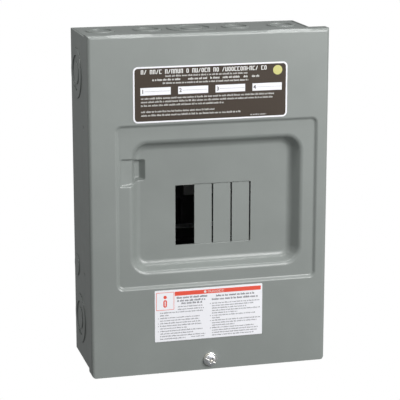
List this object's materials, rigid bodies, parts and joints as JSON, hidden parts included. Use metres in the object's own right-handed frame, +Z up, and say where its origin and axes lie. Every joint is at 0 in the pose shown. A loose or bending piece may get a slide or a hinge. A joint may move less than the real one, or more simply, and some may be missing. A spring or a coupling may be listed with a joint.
{
  "type": "residential load center",
  "caption": "Surface-mounted steel breaker panel with a hook-on cover, stamped dead front, twist-outs, bus bars, lugs, neutral and ground bars.",
  "frame": {"origin": "centre of the box's back face, where it meets the wall", "axes": "+Z up, +X to the right as seen from the front, +Y into the wall; the cover faces -Y"},
  "size_m": [0.238, 0.1108, 0.336],
  "materials": {
    "grey_enamel": "baked grey enamel, semi-gloss",
    "zinc_plated_steel": "bright zinc plate",
    "galvanised_steel": "galvanised, dull",
    "lug_aluminium": "tin-plated, satin",
    "tinned_bus": "tin-plated, satin",
    "black_moulding": "moulded thermoset, matt",
    "black_enamel": "black e-coat, satin",
    "green_screw": "green dyed zinc",
    "directory_label": "printed vinyl, brown with a pale border",
    "safety_label": "printed vinyl, white with an orange-red band",
    "paper_label": "printed paper"
  },
  "bodies": {
    "box": {"bonding_strap": "tinned_bus", "box_bottom_end": "grey_enamel", "box_top_end": "grey_enamel", "box_wrapper": "grey_enamel", "breaker_rail": "black_enamel", "bus_bar_a": "tinned_bus", "bus_bar_b": "tinned_bus", "bus_base": "black_moulding", "ground_bar": "lug_aluminium", "ground_mounting_screws": "zinc_plated_steel", "ground_terminal_screws": "zinc_plated_steel", "interior_mounting_screws": "zinc_plated_steel", "interior_pan": "galvanised_steel", "knockouts_back": "grey_enamel", "knockouts_bottom": "grey_enamel", "knockouts_left": "grey_enamel", "knockouts_right": "grey_enamel", "knockouts_top": "grey_enamel", "lug_mounting_screws": "zinc_plated_steel", "main_lug_a": "lug_aluminium", "main_lug_b": "lug_aluminium", "neutral_bar": "lug_aluminium", "neutral_insulators": "black_moulding", "neutral_lug": "lug_aluminium", "neutral_terminal_screws": "zinc_plated_steel", "wiring_label": "paper_label"},
    "cover": {"cover": "grey_enamel", "directory_label": "directory_label", "safety_label": "safety_label"},
    "cover_screw_washer": {"cover_screw_washer": "zinc_plated_steel"},
    "cover_screw": {"cover_screw": "zinc_plated_steel"},
    "main_lug_screw_a": {"main_lug_set_screw_a": "zinc_plated_steel"},
    "main_lug_screw_b": {"main_lug_set_screw_b": "zinc_plated_steel"},
    "neutral_lug_screw": {"neutral_lug_set_screw": "zinc_plated_steel"},
    "bonding_screw": {"bonding_screw": "green_screw"},
    "twist_out_2": {"twist_out_2": "grey_enamel"},
    "twist_out_3": {"twist_out_3": "grey_enamel"},
    "twist_out_4": {"twist_out_4": "grey_enamel"}
  },
  "joints": [
    {"name": "cover_tilt", "type": "hinge", "parent": "box", "child": "cover", "pos_m": [0, -0.0916, 0.1646], "axis": [-1, 0, 0], "range_deg": [0, 35]},
    {"name": "cover_screw_withdraw", "type": "slide", "parent": "cover", "child": "cover_screw_washer", "axis": [0, -1, 0], "range_m": [0, 0.0128]},
    {"name": "cover_screw_turn", "type": "hinge", "parent": "cover_screw_washer", "child": "cover_screw", "pos_m": [0, -0.1058, -0.15435], "axis": [0, -1, 0], "range_deg": [0, 5760]},
    {"name": "twist_out_2_twist", "type": "hinge", "parent": "cover", "child": "twist_out_2", "pos_m": [-0.00338, -0.0901, -0.0093], "axis": [0, 0, 1], "range_deg": [-60, 60]},
    {"name": "twist_out_3_twist", "type": "hinge", "parent": "cover", "child": "twist_out_3", "pos_m": [0.01566, -0.0901, -0.0093], "axis": [0, 0, 1], "range_deg": [-60, 60]},
    {"name": "twist_out_4_twist", "type": "hinge", "parent": "cover", "child": "twist_out_4", "pos_m": [0.03472, -0.0901, -0.0093], "axis": [0, 0, 1], "range_deg": [-60, 60]},
    {"name": "main_lug_screw_a_clamp", "type": "slide", "parent": "box", "child": "main_lug_screw_a", "axis": [0, 1, 0], "range_m": [0, 0.008]},
    {"name": "main_lug_screw_b_clamp", "type": "slide", "parent": "box", "child": "main_lug_screw_b", "axis": [0, 1, 0], "range_m": [0, 0.008]},
    {"name": "neutral_lug_screw_clamp", "type": "slide", "parent": "box", "child": "neutral_lug_screw", "axis": [0, 1, 0], "range_m": [0, 0.008]},
    {"name": "bonding_screw_withdraw", "type": "slide", "parent": "box", "child": "bonding_screw", "axis": [0, -1, 0], "range_m": [0, 0.012]}
  ],
  "couplings": [
    {"joint": "cover_screw_withdraw", "follows": "cover_screw_turn", "m_per_rad": 0.00012633}
  ]
}
